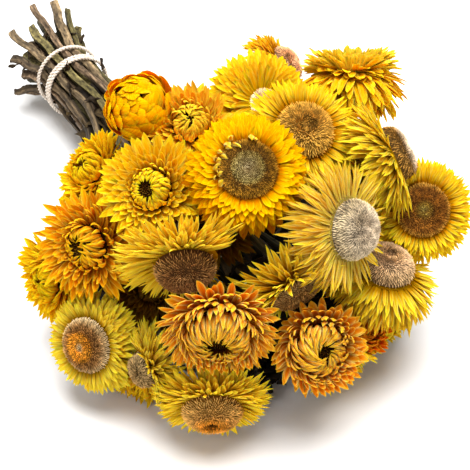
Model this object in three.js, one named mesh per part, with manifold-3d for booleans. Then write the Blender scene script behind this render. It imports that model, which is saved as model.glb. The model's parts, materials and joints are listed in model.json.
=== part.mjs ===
// A bunch of dried strawflowers lying on a table: thirty-five papery heads on stiff stems, tied with string.
// Millimetres, +Z up. +Y runs from the heads to the cut stem ends. The origin is the flat spot under the
// lowest head, on the table. Each head is a cup with its bracts fused to it, an open head also carries the
// domed disc of florets that its bracts have folded away from, and the string holds every stem at the tie.
import * as THREE from "three";
import { mergeVertices } from "three/addons/utils/BufferGeometryUtils.js";
import Module from "manifold-3d";

const wasm = await Module();
wasm.setup();

// ---- Driving dimensions, in millimetres and degrees ----
const GAP = 0.35; // clear space between separate pieces

const TIE_CENTRE = new THREE.Vector3(11, 182, 27);
const TIE_AXIS = new THREE.Vector3(0, 1, -0.02).normalize(); // towards the cut ends
const TIE_HALF_LENGTH = 12; // the stems run straight through the string
const THROAT_ALONG = -52; // they stay together as far as this, and open to the heads from there
const THROAT_SPREAD = 1.35;
const PRESSED_RINGS = [
  { count: 13, radius: 8.3 },
  { count: 7, radius: 4.4 },
];
const RIM_COUNT = 15;
const RIM_RADIUS_PRESSED = 12;
const RIM_RADIUS_LOOSE = 13.6;
const BUNDLE_HEART = 10.9; // where the pressed stems are one solid

const STEM_RADIUS = 2.4; // at the cut end
const STEM_TAPER = 0.35; // share of the radius lost by the head
const STEM_SIDES = { loose: 5, pressed: 4 };
const STEM_BENDS = [0.5]; // where it bends, between the throat and its neck
const CUT_LENGTH = 32; // from the tie to the cut end
const CUT_SLANT = 9; // how much longer than that on the upper right, and shorter on the lower left
const CUT_SPLAY = 1.75; // how far the cut ends open, against the tie

const STRING_RADIUS = 0.9;
const STRING_TURNS = [7, -3.5, -5.8]; // where each turn crosses the tie axis
const STRING_STEPS = 45;
const STRING_SIDES = 4;

const CUP_DEPTH = 9; // from the stem to the cup's rim
const CUP_RIM = 1.8; // how far the cup stands out round its disc
const CUP_SIDES = 8;
const BRACT_KEEL = 1.3; // a bract's thickness at its widest
const BRACT_SUNK = 4; // how deep its root goes into the cup
const BRACT_COVER = 0.9; // share of a layer's round that its bracts fill at their widest

const DISC_SIDES = 10;
const DISC_RELIEF = 0.45; // how far the florets stand out of the disc

// ---- The heads ----
// at: middle of the cup's rim. faces: compass angle from +X towards +Y, then angle above the table.
// across: from bract tip to bract tip. disc: radius of the floret disc. dome: how high it stands.
// lift: angle of the lowest bracts out of the rim's plane; below zero they are folded back.
const OPEN_HEADS = [
  { name: "centre", at: [-8, -22, 115], faces: [-118, 50], across: 52, disc: 11.5, dome: 4, lift: -12 },
  { name: "left_disc", at: [-74, -2, 35], faces: [-158, 26], across: 46, disc: 11.4, dome: 6, lift: -22 },
  { name: "brown_dome", at: [-39, -25, 83], faces: [-115, -20], across: 50, disc: 12, dome: 11, lift: -14 },
  { name: "front_dome", at: [-44, -53, 27], faces: [-121, -16], across: 48, disc: 12, dome: 9, lift: -10 },
  { name: "pale_dome", at: [21, -51, 92], faces: [-65, 22], across: 58, disc: 12, dome: 11, lift: -48 },
  { name: "dark_disc", at: [68, -41, 73], faces: [-118, 43], across: 46, disc: 11.2, dome: 4.5, lift: -8 },
  { name: "top_right", at: [85, 36, 99], faces: [57, 64], across: 70, disc: 6, dome: 3, lift: -58 },
  { name: "right_side", at: [65, -22, 91], faces: [-19, 22], across: 56, disc: 12.2, dome: 8, lift: -42 },
  { name: "low_dome", at: [43, -50, 58], faces: [-15, 78], across: 56, disc: 11.6, dome: 10, lift: -46 },
  { name: "saddle", at: [32, -3, 105], faces: [-98, 58], across: 50, disc: 11.6, dome: 8, lift: -18 },
  { name: "top_left", at: [38, 37, 92], faces: [-95, 38], across: 48, disc: 7.5, dome: 5, lift: -12 },
  { name: "top_orange", at: [67, 64, 85], faces: [-31, 30], across: 44, disc: 9, dome: 7, lift: -38 },
  { name: "small_dome", at: [-59, -26, 34], faces: [176, -8], across: 42, disc: 7, dome: 7, lift: -34 },
  { name: "tucked_dome", at: [0, -45, 66], faces: [-84, -27], across: 48, disc: 11, dome: 7, lift: -22 },
  { name: "under_middle", at: [0, 0, 7.2], faces: [0, -90], across: 44, disc: 11, dome: 8.4, lift: -12 },
];
const CUPPED_HEADS = [
  { name: "lemon_cup", at: [-37, 4, 99], faces: [-134, 44], across: 44, ball: 10, lift: 2 },
  { name: "gold_ball", at: [-15, 52, 98], faces: [-103, 66], across: 38, ball: 11, lift: 24 },
  { name: "amber_left", at: [-62, 16, 71], faces: [-144, 34], across: 50, ball: 10.5, lift: 0 },
  { name: "rim_left", at: [-72, 36, 41], faces: [-173, 12], across: 46, ball: 9, lift: 4 },
  { name: "amber_front", at: [-39, -50, 67], faces: [-121, 2], across: 52, ball: 11.5, lift: -2 },
  { name: "amber_right", at: [-1, -66, 50], faces: [-115, 30], across: 44, ball: 10.5, lift: 8 },
  { name: "upper_left", at: [-37, 62, 69], faces: [160, 46], across: 42, ball: 9, lift: 2 },
  { name: "orange_mid", at: [-1, 34, 98], faces: [-116, 62], across: 40, ball: 8, lift: 10 },
  { name: "red_bud", at: [28, -56, 37], faces: [-102, 26], across: 26, ball: 6.5, lift: 34 },
  { name: "low_yellow", at: [49, -47, 22], faces: [-85, -8], across: 38, ball: 8, lift: 4 },
  { name: "under_right", at: [19, -57, 23], faces: [-80, -14], across: 42, ball: 8, lift: 0 },
  { name: "under_left", at: [-57, -15, 13], faces: [-140, -30], across: 38, ball: 7, lift: 4 },
  { name: "gap_orange", at: [65, -5, 70], faces: [-80, 55], across: 38, ball: 8, lift: 14 },
  { name: "low_back_left", at: [-48, 60, 15], faces: [145, -20], across: 42, ball: 8, lift: 2 },
  { name: "low_back_right", at: [54, 50, 13], faces: [40, -25], across: 42, ball: 8, lift: 2 },
  { name: "far_right", at: [73, 4, 35], faces: [4, -6], across: 44, ball: 9, lift: 0 },
  { name: "far_back", at: [79, 46, 52], faces: [38, 6], across: 44, ball: 10, lift: 4 },
  { name: "inner_left", at: [-40, 2, 48], faces: [-128, 30], across: 42, ball: 8, lift: 2 },
  { name: "inner_middle", at: [-12, -5, 76], faces: [-118, 42], across: 42, ball: 8, lift: 0 },
  { name: "back", at: [46, 68, 72], faces: [75, 50], across: 44, ball: 9, lift: 4 },
];
const HEADS = [...OPEN_HEADS, ...CUPPED_HEADS];

// Stems that lie loose round the rim of the tie, each a piece of its own. The rest are pressed together.
const LOOSE_STEMS = [
  "gold_ball", "rim_left", "top_orange", "top_right", "amber_left", "small_dome", "far_back", "front_dome",
];

// Bract layers, from the lowest up: how many, how long against the head's own reach, how much steeper than
// the lowest, and how the tip bends against the root.
const OPEN_LAYERS = [
  { count: 11, reach: 1, rise: 0, bend: -8 },
  { count: 7, reach: 0.8, rise: 22, bend: -6 },
];
const CUPPED_LAYERS = [
  { count: 10, reach: 1, rise: 0, bend: 6 },
  { count: 6, reach: 0.84, rise: 26, bend: 14 },
];
const BALL_LAYER = { count: 5, rise: 74, bend: 62 };
const USUAL_ACROSS = 46; // smaller heads have fewer bracts, and so have those underneath
const UNDERNEATH = 0.6;
const HEADS_UNDERNEATH = [
  "under_middle", "under_left", "under_right", "low_back_left", "low_back_right",
  "back", "far_right", "far_back", "inner_left", "inner_middle",
];

// ---- Small helpers ----
let seed = 20;
function random() {
  seed = (seed * 16807) % 2147483647;
  return seed / 2147483647;
}
const between = (low, high) => low + (high - low) * random();
const radians = THREE.MathUtils.degToRad;

function solidOf(geometry, sameCorner = 1e-4) {
  const bare = new THREE.BufferGeometry().setAttribute("position", geometry.getAttribute("position"));
  bare.setIndex(geometry.index);
  const merged = mergeVertices(bare, sameCorner);
  const mesh = new wasm.Mesh({
    numProp: 3,
    vertProperties: new Float32Array(merged.attributes.position.array),
    triVerts: new Uint32Array(merged.index.array),
  });
  return new wasm.Manifold(mesh);
}

function geometryOf(solid) {
  const mesh = solid.getMesh();
  const geometry = new THREE.BufferGeometry();
  geometry.setAttribute("position", new THREE.BufferAttribute(mesh.vertProperties, 3));
  geometry.setIndex(new THREE.BufferAttribute(mesh.triVerts, 1));
  geometry.computeVertexNormals();
  return geometry;
}

function boxOf(solid) {
  const corners = new THREE.BufferAttribute(solid.getMesh().vertProperties, 3);
  return new THREE.Box3().setFromBufferAttribute(corners);
}

// The one body that counts: loose scraps and sealed hollows are dropped.
function soundBody(solid) {
  const bodies = solidOf(geometryOf(solid), 2e-3).decompose();
  return bodies.reduce((most, body) => (body.volume() > most.volume() ? body : most));
}

// The table cuts off what would reach below it.
const table = solidOf(new THREE.BoxGeometry(600, 900, 100).translate(0, 100, -50));
const standing = (solid, frame) =>
  soundBody(solid.subtract(table.transform(frame.clone().invert().elements)));

// ---- Where each head stands ----
for (const head of HEADS) {
  const [turn, height] = head.faces.map(radians);
  head.centre = new THREE.Vector3(...head.at);
  head.facing = new THREE.Vector3(
    Math.cos(turn) * Math.cos(height),
    Math.sin(turn) * Math.cos(height),
    Math.sin(height),
  );
  head.rim = head.disc ? head.disc + CUP_RIM : head.ball;
  head.group = new THREE.Group();
  head.group.position.copy(head.centre);
  head.group.quaternion.setFromUnitVectors(new THREE.Vector3(0, 0, 1), head.facing);
  head.group.updateMatrixWorld(true);
  head.frame = head.group.matrixWorld;
  head.stemEnd = head.centre.clone().addScaledVector(head.facing, -CUP_DEPTH - GAP);
}

// ---- Stems ----
const side = new THREE.Vector3(1, 0, 0);
const above = new THREE.Vector3().crossVectors(side, TIE_AXIS).normalize();

// A place in the tie: so far from its middle at an angle, and so far along it.
function inTie(radius, angle, along) {
  return TIE_CENTRE.clone()
    .addScaledVector(TIE_AXIS, along)
    .addScaledVector(side, radius * Math.cos(angle))
    .addScaledVector(above, radius * Math.sin(angle));
}

// Each stem has the place in the tie that lies on its head's own side, the widest-set heads on the rim.
function assignPlaces() {
  const seen = HEADS.map((head) => {
    const offset = head.stemEnd.clone().sub(TIE_CENTRE);
    const along = -offset.dot(TIE_AXIS);
    const x = offset.dot(side);
    const y = offset.dot(above) - 0.22 * along;
    return { head, angle: Math.atan2(y, x), spread: Math.hypot(x, y) / along };
  });
  seen.sort((a, b) => b.spread - a.spread);
  const loose = seen.filter(({ head }) => LOOSE_STEMS.includes(head.name));
  const pressed = seen.filter(({ head }) => !LOOSE_STEMS.includes(head.name));
  let next = RIM_COUNT - loose.length;
  const rings = [{ places: [...loose, ...pressed.slice(0, next)], radius: RIM_RADIUS_PRESSED }];
  for (const { count, radius } of PRESSED_RINGS) {
    rings.push({ places: pressed.slice(next, next + count), radius });
    next += count;
  }
  for (const { places, radius } of rings) {
    places.sort((a, b) => a.angle - b.angle);
    const step = (2 * Math.PI) / places.length;
    const drift = places.reduce((sum, place, i) => sum + place.angle - i * step, 0) / places.length;
    places.forEach(({ head }, i) => {
      head.tieAngle = drift + i * step;
      head.tieRadius = LOOSE_STEMS.includes(head.name) ? RIM_RADIUS_LOOSE : radius;
    });
  }
}

// The middle line of a stem: straight from the cut end through the string to the throat, then a curve to
// the head.
function stemStations(head) {
  const { tieRadius, tieAngle, stemEnd, facing } = head;
  const splay = tieRadius * between(CUT_SPLAY * 0.85, CUT_SPLAY * 1.15);
  const cut = inTie(splay, tieAngle, CUT_LENGTH + CUT_SLANT * Math.cos(tieAngle - 1) + between(-7, 7));
  cut.z = Math.max(cut.z, STEM_RADIUS * 0.8);
  const entering = inTie(tieRadius, tieAngle, TIE_HALF_LENGTH);
  const leaving = inTie(tieRadius, tieAngle, -TIE_HALF_LENGTH);
  const throat = inTie(tieRadius * THROAT_SPREAD, tieAngle, THROAT_ALONG);
  const neck = stemEnd.clone().addScaledVector(facing, -8);
  const curve = new THREE.CatmullRomCurve3([entering, leaving, throat, neck, stemEnd], false, "centripetal");
  const after = STEM_BENDS.map((along) => curve.getPoint(0.5 + 0.25 * along));
  return [cut, entering, leaving, throat, ...after, neck, stemEnd];
}

// A stem is a rod laid along its stations, thinner towards the head.
function stemSolid(stations, sides) {
  const steps = stations.length - 1;
  const rod = new THREE.CylinderGeometry(STEM_RADIUS * (1 - STEM_TAPER), STEM_RADIUS, steps, sides, steps);
  const across = side.clone();
  const rings = stations.map((station, i) => {
    const along = stations[Math.min(i + 1, steps)].clone().sub(stations[Math.max(i - 1, 0)]).normalize();
    across.addScaledVector(along, -across.dot(along)).normalize();
    const third = across.clone().cross(along);
    return new THREE.Matrix4().makeBasis(across.clone(), along, third).setPosition(station);
  });
  const points = rod.getAttribute("position");
  const point = new THREE.Vector3();
  for (let i = 0; i < points.count; i++) {
    point.fromBufferAttribute(points, i);
    const ring = Math.round(point.y + steps / 2);
    point.setY(0).applyMatrix4(rings[ring]);
    points.setXYZ(i, point.x, point.y, point.z);
  }
  return solidOf(rod);
}

// The heart of the bundle, which the pressed stems stand out of.
function heartSolid() {
  const heart = new THREE.CylinderGeometry(BUNDLE_HEART, BUNDLE_HEART, 2 * TIE_HALF_LENGTH, 16);
  const turn = new THREE.Quaternion().setFromUnitVectors(new THREE.Vector3(0, 1, 0), TIE_AXIS);
  heart.applyQuaternion(turn).translate(...TIE_CENTRE);
  return solidOf(heart);
}

// ---- The string ----
// One length of string, wound three times round the stems: one turn by itself and two side by side.
class StringPath extends THREE.Curve {
  getPoint(t, target = new THREE.Vector3()) {
    const turn = t * STRING_TURNS.length;
    const whole = Math.min(Math.floor(turn), STRING_TURNS.length - 1);
    const start = STRING_TURNS[whole];
    const end = STRING_TURNS[Math.min(whole + 1, STRING_TURNS.length - 1)];
    const across = THREE.MathUtils.smoothstep(turn - whole, 0.72, 1);
    const radius = RIM_RADIUS_LOOSE + STEM_RADIUS + GAP + STRING_RADIUS + 0.2;
    return target.copy(inTie(radius, -0.6 + 2 * Math.PI * turn * 0.985, start + (end - start) * across));
  }
}

function stringSolid() {
  const ring = new THREE.Path().absarc(0, 0, STRING_RADIUS, 0, 2 * Math.PI).getSpacedPoints(STRING_SIDES);
  const section = new THREE.Shape(ring.slice(0, STRING_SIDES));
  const path = new StringPath();
  const winding = { steps: STRING_STEPS, extrudePath: path, bevelEnabled: false };
  return solidOf(new THREE.ExtrudeGeometry(section, winding));
}

// ---- Cups and discs ----
const turned = (profile, sides) =>
  new THREE.LatheGeometry(profile.map(([r, z]) => new THREE.Vector2(r, z)), sides).rotateX(Math.PI / 2);

function cupSolid({ disc, ball, rim }) {
  const neck = STEM_RADIUS * (1 - STEM_TAPER) + 0.8;
  const under = [[0, -CUP_DEPTH], [neck, -CUP_DEPTH], [rim, -2.5]];
  const over = disc ? [[rim, 0], [0, 0]] : [[ball, 3], [ball * 0.6, ball * 0.62], [0, ball * 0.5]];
  return solidOf(turned([...under, ...over], CUP_SIDES));
}

// The floret disc: a dome, dimpled in the middle, with florets raised and sunk by turns.
function discSolid({ disc, dome }) {
  const wall = [[0, GAP], [disc, GAP], [disc, dome * 0.4]];
  const crown = [[disc * 0.8, dome * 0.82], [disc * 0.45, dome], [0, dome * 0.9]];
  const profile = [...wall, ...crown];
  const geometry = turned(profile, DISC_SIDES);
  const points = geometry.getAttribute("position");
  const point = new THREE.Vector3();
  for (let i = 0; i < points.count; i++) {
    const ring = i % profile.length;
    if (ring < 2 || ring === profile.length - 1) continue;
    point.fromBufferAttribute(points, i);
    const angle = Math.atan2(point.y, point.x);
    const raised = DISC_RELIEF * Math.cos((DISC_SIDES / 2) * angle + Math.PI * ring);
    point.setLength(point.length() + raised);
    points.setXYZ(i, point.x, point.y, point.z);
  }
  return solidOf(geometry);
}

// ---- Bracts ----
// A bract is a keeled blade of five corners: the root, sunk in the cup, two at its widest, the tip, and one
// beneath.
const BLADE_FACES = [0, 1, 2, 1, 3, 2, 1, 4, 3, 3, 4, 2, 0, 4, 1, 2, 4, 0];

function bractCorners(layer, angle, lift, reach) {
  const up = new THREE.Vector3(0, 0, 1);
  const outward = new THREE.Vector3(Math.cos(angle), Math.sin(angle), 0);
  const across = new THREE.Vector3(-Math.sin(angle), Math.cos(angle), 0);
  const leaning = (degrees) => {
    const flat = outward.clone().multiplyScalar(Math.cos(radians(degrees)));
    return flat.addScaledVector(up, Math.sin(radians(degrees)));
  };
  const edge = outward.clone().multiplyScalar(layer.edgeRadius).addScaledVector(up, layer.edgeHeight);
  const root = edge.clone().addScaledVector(leaning(lift), -BRACT_SUNK);
  const middle = edge.clone().addScaledVector(leaning(lift), reach * 0.55);
  const tip = middle.clone().addScaledVector(leaning(lift + layer.bend), reach * 0.45);
  const beneath = leaning(lift + layer.bend / 2 - 90);
  return [
    root,
    middle.clone().addScaledVector(across, -layer.width / 2),
    middle.clone().addScaledVector(across, layer.width / 2),
    tip,
    middle.clone().addScaledVector(beneath, BRACT_KEEL),
  ];
}

function bladeGeometry(corners) {
  const geometry = new THREE.BufferGeometry().setFromPoints(corners);
  geometry.setIndex(BLADE_FACES);
  return geometry;
}

// A blade a little wider and longer than the bract, moved that far out of its plane.
const SWELL = GAP * 1.2;
function swollenBlade(corners, moved) {
  const geometry = bladeGeometry(corners);
  geometry.computeVertexNormals();
  const normals = geometry.getAttribute("normal");
  const beneath = corners[4].clone().sub(corners[1].clone().lerp(corners[2], 0.5)).normalize();
  const pushed = corners.map((corner, i) => {
    const outward = new THREE.Vector3().fromBufferAttribute(normals, i);
    return corner.clone().addScaledVector(outward, SWELL).addScaledVector(beneath, moved);
  });
  return solidOf(bladeGeometry(pushed));
}

// What stands in the bunch so far: a solid in the bunch's frame, its box, and the head it may touch.
const placed = [];
const place = (solid, owner = null) => placed.push({ solid, owner, box: boxOf(solid) });

function isClear(head, corners) {
  const there = corners.map((corner) => corner.clone().applyMatrix4(head.frame));
  const box = new THREE.Box3().setFromPoints(there).expandByScalar(SWELL);
  const near = placed.filter((piece) => piece.owner !== head && piece.box.intersectsBox(box));
  if (near.length === 0) return true;
  const blades = [swollenBlade(there, -GAP), swollenBlade(there, GAP)];
  return near.every((piece) => blades.every((blade) => blade.intersect(piece.solid).isEmpty()));
}

// A bract that would cross a neighbour is folded up or back from where it would lie, or grows shorter.
const SETTLINGS = [1, 0.82, 0.66, 0.5].flatMap((share) =>
  Array.from({ length: 15 }, (_, i) => {
    const fold = (i - 7) * 12;
    return { share, fold, cost: Math.abs(fold) / 12 + (1 - share) * 14 };
  }),
);
SETTLINGS.sort((a, b) => a.cost - b.cost);
const LOWEST_LIFT = -72;
const HIGHEST_LIFT = 100;

function settledBract(head, layer, angle) {
  const lift = layer.lift + between(-3, 3);
  const reach = layer.reach * between(0.94, 1.04);
  for (const { share, fold } of SETTLINGS) {
    if (lift + fold < LOWEST_LIFT || lift + fold > HIGHEST_LIFT) continue;
    const corners = bractCorners(layer, angle, lift + fold, reach * share);
    if (isClear(head, corners)) return corners;
  }
  return null;
}

// The widest places of a layer's bracts stand side by side.
function sized(layer, head) {
  const share = HEADS_UNDERNEATH.includes(head.name) ? UNDERNEATH : Math.min(1, head.across / USUAL_ACROSS);
  const count = Math.round(layer.count * share);
  const wide = layer.edgeRadius + layer.reach * 0.55 * Math.cos(radians(layer.lift));
  return { ...layer, count, width: (BRACT_COVER * 2 * Math.PI * wide) / count };
}

function headLayers(head) {
  const reach = head.across / 2 - head.rim + 0.5;
  const kinds = head.disc ? OPEN_LAYERS : CUPPED_LAYERS;
  const step = head.disc ? 0.7 : 1.6;
  const layers = kinds.map((kind, i) => ({
    ...kind,
    lift: head.lift + kind.rise,
    reach: reach * kind.reach,
    edgeRadius: head.rim - 0.5,
    edgeHeight: -1.9 + step * i,
  }));
  if (!head.disc) {
    const ball = { ...BALL_LAYER, lift: BALL_LAYER.rise, reach: head.ball * 1.3 };
    layers.push({ ...ball, edgeRadius: head.rim - 0.6, edgeHeight: 2.4 });
  }
  return layers.map((layer) => sized(layer, head));
}

function growBracts(head, layer) {
  const offset = between(0, 2 * Math.PI);
  for (let i = 0; i < layer.count; i++) {
    const angle = offset + ((i + between(-0.06, 0.06)) * 2 * Math.PI) / layer.count;
    const corners = settledBract(head, layer, angle);
    if (!corners) continue;
    const blade = solidOf(bladeGeometry(corners));
    head.solid = head.solid.add(blade);
    place(blade.transform(head.frame.elements), head);
  }
}

// ---- Colours ----
const finish = (color, roughness) => new THREE.MeshStandardMaterial({ color, roughness, metalness: 0 });
const lemonBracts = finish(0xe8b80c, 0.5);
const amberBracts = finish(0xe08c12, 0.5);
const brownFlorets = finish(0x6f4a1e, 0.9);
const dryStem = finish(0x7d6f45, 0.85);
const cottonString = finish(0xdccdb4, 0.9);
const AMBER_HEADS = [
  "gold_ball", "amber_left", "amber_front", "amber_right",
  "orange_mid", "red_bud", "gap_orange", "top_orange",
];

// ---- The bunch ----
const bunch = new THREE.Group();
const here = new THREE.Matrix4();

function addPiece(name, solid, material, parent = bunch) {
  const mesh = new THREE.Mesh(geometryOf(solid), material);
  mesh.name = name;
  parent.add(mesh);
}

assignPlaces();
let bundle = heartSolid();
for (const head of HEADS) {
  const loose = LOOSE_STEMS.includes(head.name);
  const stem = stemSolid(stemStations(head), loose ? STEM_SIDES.loose : STEM_SIDES.pressed);
  place(stem);
  if (loose) addPiece(`stem_${head.name}`, standing(stem, here), dryStem);
  else bundle = bundle.add(stem);
}
addPiece("stem_bundle", standing(bundle, here), dryStem);

const string = stringSolid();
place(string);
addPiece("string", string, cottonString);

for (const head of HEADS) {
  head.solid = cupSolid(head);
  place(head.solid.transform(head.frame.elements), head);
  bunch.add(head.group);
  if (!head.disc) continue;
  const florets = standing(discSolid(head), head.frame);
  place(florets.transform(head.frame.elements));
  addPiece(`disc_${head.name}`, florets, brownFlorets, head.group);
}
for (const level of [0, 1, 2]) {
  for (const head of HEADS) {
    const layer = headLayers(head)[level];
    if (layer) growBracts(head, layer);
  }
}
for (const head of HEADS) {
  const colour = AMBER_HEADS.includes(head.name) ? amberBracts : lemonBracts;
  addPiece(`bracts_${head.name}`, standing(head.solid, head.frame), colour, head.group);
}

export default bunch;
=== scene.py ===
import collections
import itertools
import json
import math
import random

import bpy
import numpy as np
from mathutils import Matrix, Vector
from mathutils.bvhtree import BVHTree

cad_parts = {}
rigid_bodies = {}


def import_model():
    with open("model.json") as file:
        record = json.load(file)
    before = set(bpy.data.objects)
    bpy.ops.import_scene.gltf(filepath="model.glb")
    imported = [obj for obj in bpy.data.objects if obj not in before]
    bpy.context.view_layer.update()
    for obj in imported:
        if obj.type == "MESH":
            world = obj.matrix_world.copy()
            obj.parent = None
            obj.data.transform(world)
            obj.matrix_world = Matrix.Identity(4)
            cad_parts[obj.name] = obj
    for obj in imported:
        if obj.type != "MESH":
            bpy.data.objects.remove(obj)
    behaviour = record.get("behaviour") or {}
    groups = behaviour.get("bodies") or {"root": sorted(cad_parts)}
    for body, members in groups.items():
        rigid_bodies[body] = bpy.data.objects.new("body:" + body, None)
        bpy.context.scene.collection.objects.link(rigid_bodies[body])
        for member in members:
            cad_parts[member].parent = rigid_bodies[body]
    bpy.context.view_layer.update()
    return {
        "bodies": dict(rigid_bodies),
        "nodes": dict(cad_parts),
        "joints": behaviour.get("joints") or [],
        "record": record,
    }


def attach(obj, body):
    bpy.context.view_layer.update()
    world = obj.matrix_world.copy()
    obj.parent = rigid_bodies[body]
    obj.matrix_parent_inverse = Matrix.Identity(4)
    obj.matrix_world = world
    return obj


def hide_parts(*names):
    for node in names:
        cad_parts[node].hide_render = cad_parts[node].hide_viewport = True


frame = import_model()

# ---- Camera, light and table ----
# The bunch lies on a plain white table and is seen from above its heads, with the cut ends going away to the
# upper left. A broad soft lamp hangs over it, a weak one off to the left fills its shade, and the room is
# bright all round.
bpy.context.scene.view_settings.view_transform = "Standard"

LOOKING = Vector((0.3938, 0.6302, -0.6691)).normalized()
LOOKED_AT = Vector((0, 0, 0.060))
CAMERA_DISTANCE = 0.560
bpy.ops.object.camera_add(location=LOOKED_AT - LOOKING * CAMERA_DISTANCE)
camera = bpy.context.object
camera.name = "camera"
camera.rotation_mode = "QUATERNION"
camera.rotation_quaternion = (-LOOKING).to_track_quat("Z", "Y")
camera.data.lens = 100
camera.data.sensor_width = 36
bpy.context.scene.camera = camera


def hang_lamp(name, place, aim, watts, size):
    bpy.ops.object.light_add(type="AREA", location=place)
    lamp = bpy.context.object
    lamp.name = name
    lamp.rotation_mode = "QUATERNION"
    lamp.rotation_quaternion = (Vector(place) - Vector(aim)).to_track_quat("Z", "Y")
    lamp.data.energy = watts
    lamp.data.shape = "DISK"
    lamp.data.size = size


hang_lamp("lamp_above", (0.05, 0.0, 1.02), (0.01, 0.02, 0.05), 22.5, 0.9)
hang_lamp("lamp_front", (-0.75, -0.45, 0.80), (0.01, 0.0, 0.05), 2.4, 0.7)

room = bpy.data.worlds.new("room")
bpy.context.scene.world = room
room.use_nodes = True
glow = room.node_tree.nodes["Background"]
glow.inputs["Color"].default_value = (1.0, 0.94, 0.87, 1)
glow.inputs["Strength"].default_value = 0.33

TABLE_SIZE = 6
bpy.ops.mesh.primitive_plane_add(size=TABLE_SIZE, location=(0, 0, 0))
table = bpy.context.object
table.name = "table"
white = bpy.data.materials.new("white_table")
white.use_nodes = True
shader = white.node_tree.nodes["Principled BSDF"]
shader.inputs["Base Color"].default_value = (0.93, 0.93, 0.93, 1)
shader.inputs["Roughness"].default_value = 0.9
table.data.materials.append(white)

# ---- Stems ----
# Dry ridged stems with old leaf scars, olive to mauve-brown, cut off at a slant. Each runs from its head's
# cup through the string, where they are pressed together, and opens again towards its cut end.

# Each head: the middle of its disc in mm, and which way it faces, as its turn and its rise in degrees.
HEADS = {
    "centre": ((-8, -22, 115), (-118, 50)),
    "left_disc": ((-74, -2, 35), (-158, 26)),
    "brown_dome": ((-39, -25, 83), (-115, -20)),
    "front_dome": ((-44, -53, 27), (-121, -16)),
    "pale_dome": ((21, -51, 92), (-65, 22)),
    "dark_disc": ((68, -41, 73), (-118, 43)),
    "top_right": ((85, 36, 99), (57, 64)),
    "right_side": ((65, -22, 91), (-19, 22)),
    "low_dome": ((43, -50, 58), (-15, 78)),
    "saddle": ((32, -3, 105), (-98, 58)),
    "top_left": ((38, 37, 92), (-95, 38)),
    "top_orange": ((67, 64, 85), (-31, 30)),
    "small_dome": ((-59, -26, 34), (176, -8)),
    "tucked_dome": ((0, -45, 66), (-84, -27)),
    "under_middle": ((0, 0, 7.2), (0, -90)),
    "lemon_cup": ((-37, 4, 99), (-134, 44)),
    "gold_ball": ((-15, 52, 98), (-103, 66)),
    "amber_left": ((-62, 16, 71), (-144, 34)),
    "rim_left": ((-72, 36, 41), (-173, 12)),
    "amber_front": ((-39, -50, 67), (-121, 2)),
    "amber_right": ((-1, -66, 50), (-115, 30)),
    "upper_left": ((-37, 62, 69), (160, 46)),
    "orange_mid": ((-1, 34, 98), (-116, 62)),
    "red_bud": ((28, -56, 37), (-102, 26)),
    "low_yellow": ((49, -47, 22), (-85, -8)),
    "under_right": ((19, -57, 23), (-80, -14)),
    "under_left": ((-57, -15, 13), (-140, -30)),
    "gap_orange": ((65, -5, 70), (-80, 55)),
    "low_back_left": ((-48, 60, 15), (145, -20)),
    "low_back_right": ((54, 50, 13), (40, -25)),
    "far_right": ((73, 4, 35), (4, -6)),
    "far_back": ((79, 46, 52), (38, 6)),
    "inner_left": ((-40, 2, 48), (-128, 30)),
    "inner_middle": ((-12, -5, 76), (-118, 42)),
    "back": ((46, 68, 72), (75, 50)),
}
# Stems that lie on the rim of the tie. The others are pressed together inside it.
LOOSE_STEMS = (
    "gold_ball", "rim_left", "top_orange", "top_right", "amber_left", "small_dome", "far_back", "front_dome",
)
# In metres: from the middle of a disc down to the end of its stem, how thick a stem is, and how far the loose
# and the pressed stems lie from the middle of the tie.
CUP_DEPTH = 0.00935
STEM_RADIUS = 0.0024
LOOSE_RING = 0.0136
PRESSED_RINGS = (0.012, 0.0083, 0.0044)
# How steeply the fan of stems rises from the tie towards the heads.
FAN_RISE = 0.22
TIE_CENTRE = Vector((0.011, 0.182, 0.027))
TIE_AXIS = Vector((0, 1, -0.02)).normalized()
TIE_SIDE = Vector((1, 0, 0))
TIE_UP = TIE_SIDE.cross(TIE_AXIS).normalized()


def facing_of(name):
    turn, height = map(math.radians, HEADS[name][1])
    return Vector((math.cos(turn) * math.cos(height), math.sin(turn) * math.cos(height), math.sin(height)))


def head_frame(name):
    turn = Vector((0, 0, 1)).rotation_difference(facing_of(name)).to_matrix().to_4x4()
    return Matrix.Translation(Vector(HEADS[name][0]) / 1000) @ turn


def in_tie(radius, angle, along):
    centre = TIE_CENTRE + TIE_AXIS * along
    return centre + TIE_SIDE * radius * math.cos(angle) + TIE_UP * radius * math.sin(angle)


# The stems of the heads that lie furthest out are the outermost in the tie. Seven pressed ones share the
# first ring with the loose ones, thirteen lie in the next and the rest in the last, each on its head's side.
def places_in_tie():
    seen = []
    for name, (place, _) in HEADS.items():
        offset = Vector(place) / 1000 - facing_of(name) * CUP_DEPTH - TIE_CENTRE
        along = -offset.dot(TIE_AXIS)
        x, y = offset.dot(TIE_SIDE), offset.dot(TIE_UP) - FAN_RISE * along
        seen.append((name, math.atan2(y, x), math.hypot(x, y) / along))
    seen.sort(key=lambda stem: -stem[2])
    loose = [stem for stem in seen if stem[0] in LOOSE_STEMS]
    pressed = [stem for stem in seen if stem[0] not in LOOSE_STEMS]
    found = {}
    for ring, radius in zip((loose + pressed[:7], pressed[7:20], pressed[20:]), PRESSED_RINGS):
        ring.sort(key=lambda stem: stem[1])
        step = 2 * math.pi / len(ring)
        drift = sum(angle - i * step for i, (_, angle, _) in enumerate(ring)) / len(ring)
        for i, (name, _, _) in enumerate(ring):
            found[name] = (LOOSE_RING if name in LOOSE_STEMS else radius, drift + i * step)
    return found


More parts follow.
